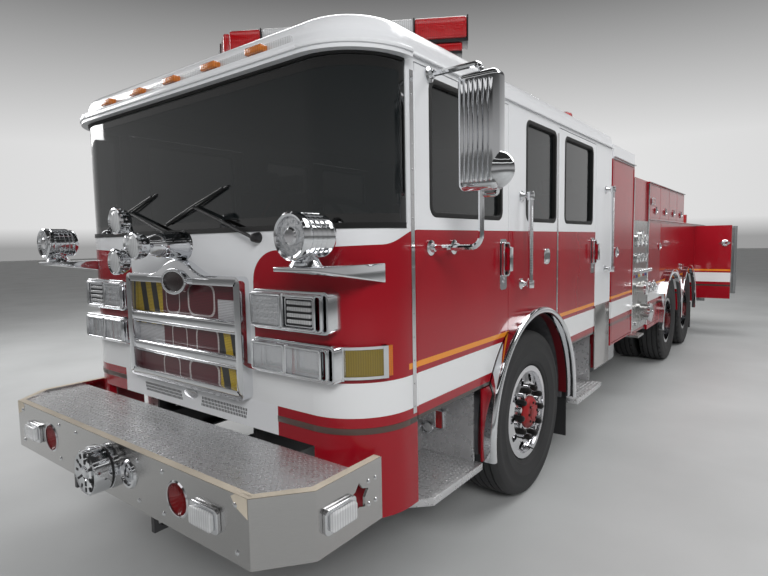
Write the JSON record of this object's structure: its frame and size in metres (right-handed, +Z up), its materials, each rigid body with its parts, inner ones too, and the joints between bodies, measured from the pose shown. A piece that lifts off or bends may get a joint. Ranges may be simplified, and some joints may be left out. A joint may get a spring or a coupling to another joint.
{
  "type": "fire engine",
  "caption": "Fire engine with a tilting crew cab, chrome grille, tread plate bumper deck, side pump panels, compartment body and tandem rear axle.",
  "frame": {"origin": "on the ground under the middle of the vehicle's length and width", "axes": "-Y forward, +X the vehicle's left, +Z up"},
  "size_m": [3.474, 10.725, 2.8498],
  "materials": {
    "chassis_paint": "black chassis enamel",
    "stainless": "brushed stainless steel",
    "tread_plate": "bright tread plate",
    "polished_trim": "polished",
    "engine_paint": "dull machinery paint",
    "axle_paint": "black forged steel",
    "tank_metal": "satin",
    "body_red": "gloss red",
    "red_lens": "clear red moulding",
    "flap_rubber": "matt black",
    "cab_paint": "gloss red and white",
    "roof_white": "gloss white",
    "floor_grey": "textured grey coating",
    "tinted_glass": "tinted",
    "clear_lens": "clear and amber",
    "warning_lens": "red and clear",
    "seat_cloth": "dark grey",
    "tyre_rubber": "black",
    "wheel_alloy": "polished"
  },
  "bodies": {
    "chassis": {"chassis_frame": "chassis_paint", "front_bumper": "stainless", "bumper_deck": "tread_plate", "bumper_fittings": "polished_trim", "powertrain": "engine_paint", "front_axle": "axle_paint", "rear_axles": "axle_paint", "chassis_tanks": "tank_metal", "forward_body": "body_red", "pump_panels": "stainless", "rear_body": "body_red", "rear_fenders": "polished_trim", "tailboard": "tread_plate", "body_lamps": "red_lens", "mudflaps": "flap_rubber"},
    "cab": {"cab_front": "cab_paint", "cab_sides": "cab_paint", "cab_rear_wall": "cab_paint", "cab_roof": "roof_white", "cab_floor": "floor_grey", "cab_glass": "tinted_glass", "grille": "polished_trim", "lamp_housings": "polished_trim", "lamp_lenses": "clear_lens", "roof_lights": "warning_lens", "cab_hardware": "polished_trim", "cab_steps": "tread_plate", "cab_interior": "seat_cloth"},
    "rotor": {"warning_rotor": "polished_trim"},
    "front_door_left": {"door_front_left": "cab_paint", "pane_front_left": "tinted_glass", "mirror_left": "polished_trim"},
    "crew_door_left": {"door_crew_left": "cab_paint", "pane_crew_left": "tinted_glass"},
    "tall_door_left": {"tall_door_left": "body_red"},
    "rear_leaf_fore_left": {"rear_leaf_fore_left": "body_red"},
    "rear_leaf_aft_left": {"rear_leaf_aft_left": "body_red"},
    "knuckle_left": {"knuckle_left": "axle_paint"},
    "front_wheel_left": {"tyre_front_left": "tyre_rubber", "rim_front_left": "wheel_alloy"},
    "rear_duals_1_left": {"tyres_rear_1_left": "tyre_rubber", "rims_rear_1_left": "wheel_alloy"},
    "rear_duals_2_left": {"tyres_rear_2_left": "tyre_rubber", "rims_rear_2_left": "wheel_alloy"},
    "front_door_right": {"door_front_right": "cab_paint", "pane_front_right": "tinted_glass", "mirror_right": "polished_trim"},
    "crew_door_right": {"door_crew_right": "cab_paint", "pane_crew_right": "tinted_glass"},
    "tall_door_right": {"tall_door_right": "body_red"},
    "rear_leaf_fore_right": {"rear_leaf_fore_right": "body_red"},
    "rear_leaf_aft_right": {"rear_leaf_aft_right": "body_red"},
    "knuckle_right": {"knuckle_right": "axle_paint"},
    "front_wheel_right": {"tyre_front_right": "tyre_rubber", "rim_front_right": "wheel_alloy"},
    "rear_duals_1_right": {"tyres_rear_1_right": "tyre_rubber", "rims_rear_1_right": "wheel_alloy"},
    "rear_duals_2_right": {"tyres_rear_2_right": "tyre_rubber", "rims_rear_2_right": "wheel_alloy"},
    "tie_rod": {"tie_rod": "axle_paint"}
  },
  "joints": [
    {"name": "cab_tilt", "type": "hinge", "parent": "chassis", "child": "cab", "pos_m": [0, -4.6675, 0.8], "axis": [1, 0, 0], "range_deg": [0, 45]},
    {"name": "rotor_spin", "type": "hinge", "parent": "cab", "child": "rotor", "pos_m": [0, -5.0575, 1.686], "axis": [0, 1, 0], "continuous": true},
    {"name": "front_door_left_hinge", "type": "hinge", "parent": "cab", "child": "front_door_left", "pos_m": [1.22, -4.4175, 1.6], "axis": [0, 0, -1], "range_deg": [0, 80]},
    {"name": "crew_door_left_hinge", "type": "hinge", "parent": "cab", "child": "crew_door_left", "pos_m": [1.22, -2.6125, 1.6], "axis": [0, 0, -1], "range_deg": [0, 75]},
    {"name": "tall_door_left_hinge", "type": "hinge", "parent": "chassis", "child": "tall_door_left", "pos_m": [1.22, -0.4375, 1.5], "axis": [0, 0, 1], "range_deg": [0, 100]},
    {"name": "rear_leaf_fore_left_hinge", "type": "hinge", "parent": "chassis", "child": "rear_leaf_fore_left", "pos_m": [1.22, 3.8725, 1.2], "axis": [0, 0, 1], "range_deg": [0, 90]},
    {"name": "rear_leaf_aft_left_hinge", "type": "hinge", "parent": "chassis", "child": "rear_leaf_aft_left", "pos_m": [1.22, 4.9125, 1.2], "axis": [0, 0, -1], "range_deg": [0, 90]},
    {"name": "steer_left", "type": "hinge", "parent": "chassis", "child": "knuckle_left", "pos_m": [0.9, -3.0715, 0.538], "axis": [0, 0, 1], "range_deg": [-40, 40]},
    {"name": "front_wheel_left_spin", "type": "hinge", "parent": "knuckle_left", "child": "front_wheel_left", "pos_m": [1.062, -3.0715, 0.538], "axis": [1, 0, 0], "continuous": true},
    {"name": "rear_duals_1_left_spin", "type": "hinge", "parent": "chassis", "child": "rear_duals_1_left", "pos_m": [0.903, 1.7455, 0.538], "axis": [1, 0, 0], "continuous": true},
    {"name": "rear_duals_2_left_spin", "type": "hinge", "parent": "chassis", "child": "rear_duals_2_left", "pos_m": [0.903, 3.1105, 0.538], "axis": [1, 0, 0], "continuous": true},
    {"name": "front_door_right_hinge", "type": "hinge", "parent": "cab", "child": "front_door_right", "pos_m": [-1.22, -4.4175, 1.6], "axis": [0, 0, 1], "range_deg": [0, 80]},
    {"name": "crew_door_right_hinge", "type": "hinge", "parent": "cab", "child": "crew_door_right", "pos_m": [-1.22, -2.6125, 1.6], "axis": [0, 0, 1], "range_deg": [0, 75]},
    {"name": "tall_door_right_hinge", "type": "hinge", "parent": "chassis", "child": "tall_door_right", "pos_m": [-1.22, -0.4375, 1.5], "axis": [0, 0, -1], "range_deg": [0, 100]},
    {"name": "rear_leaf_fore_right_hinge", "type": "hinge", "parent": "chassis", "child": "rear_leaf_fore_right", "pos_m": [-1.22, 3.8725, 1.2], "axis": [0, 0, -1], "range_deg": [0, 90]},
    {"name": "rear_leaf_aft_right_hinge", "type": "hinge", "parent": "chassis", "child": "rear_leaf_aft_right", "pos_m": [-1.22, 4.9125, 1.2], "axis": [0, 0, 1], "range_deg": [0, 90]},
    {"name": "steer_right", "type": "hinge", "parent": "chassis", "child": "knuckle_right", "pos_m": [-0.9, -3.0715, 0.538], "axis": [0, 0, 1], "range_deg": [-40, 40]},
    {"name": "front_wheel_right_spin", "type": "hinge", "parent": "knuckle_right", "child": "front_wheel_right", "pos_m": [-1.062, -3.0715, 0.538], "axis": [1, 0, 0], "continuous": true},
    {"name": "rear_duals_1_right_spin", "type": "hinge", "parent": "chassis", "child": "rear_duals_1_right", "pos_m": [-0.903, 1.7455, 0.538], "axis": [1, 0, 0], "continuous": true},
    {"name": "rear_duals_2_right_spin", "type": "hinge", "parent": "chassis", "child": "rear_duals_2_right", "pos_m": [-0.903, 3.1105, 0.538], "axis": [1, 0, 0], "continuous": true},
    {"name": "tie_rod_pivot", "type": "hinge", "parent": "knuckle_left", "child": "tie_rod", "pos_m": [0.9, -2.8815, 0.408], "axis": [0, 0, 1], "range_deg": [-40, 40]}
  ],
  "couplings": [
    {"joint": "steer_right", "follows": "steer_left", "ratio": 1},
    {"joint": "tie_rod_pivot", "follows": "steer_left", "ratio": -1}
  ]
}
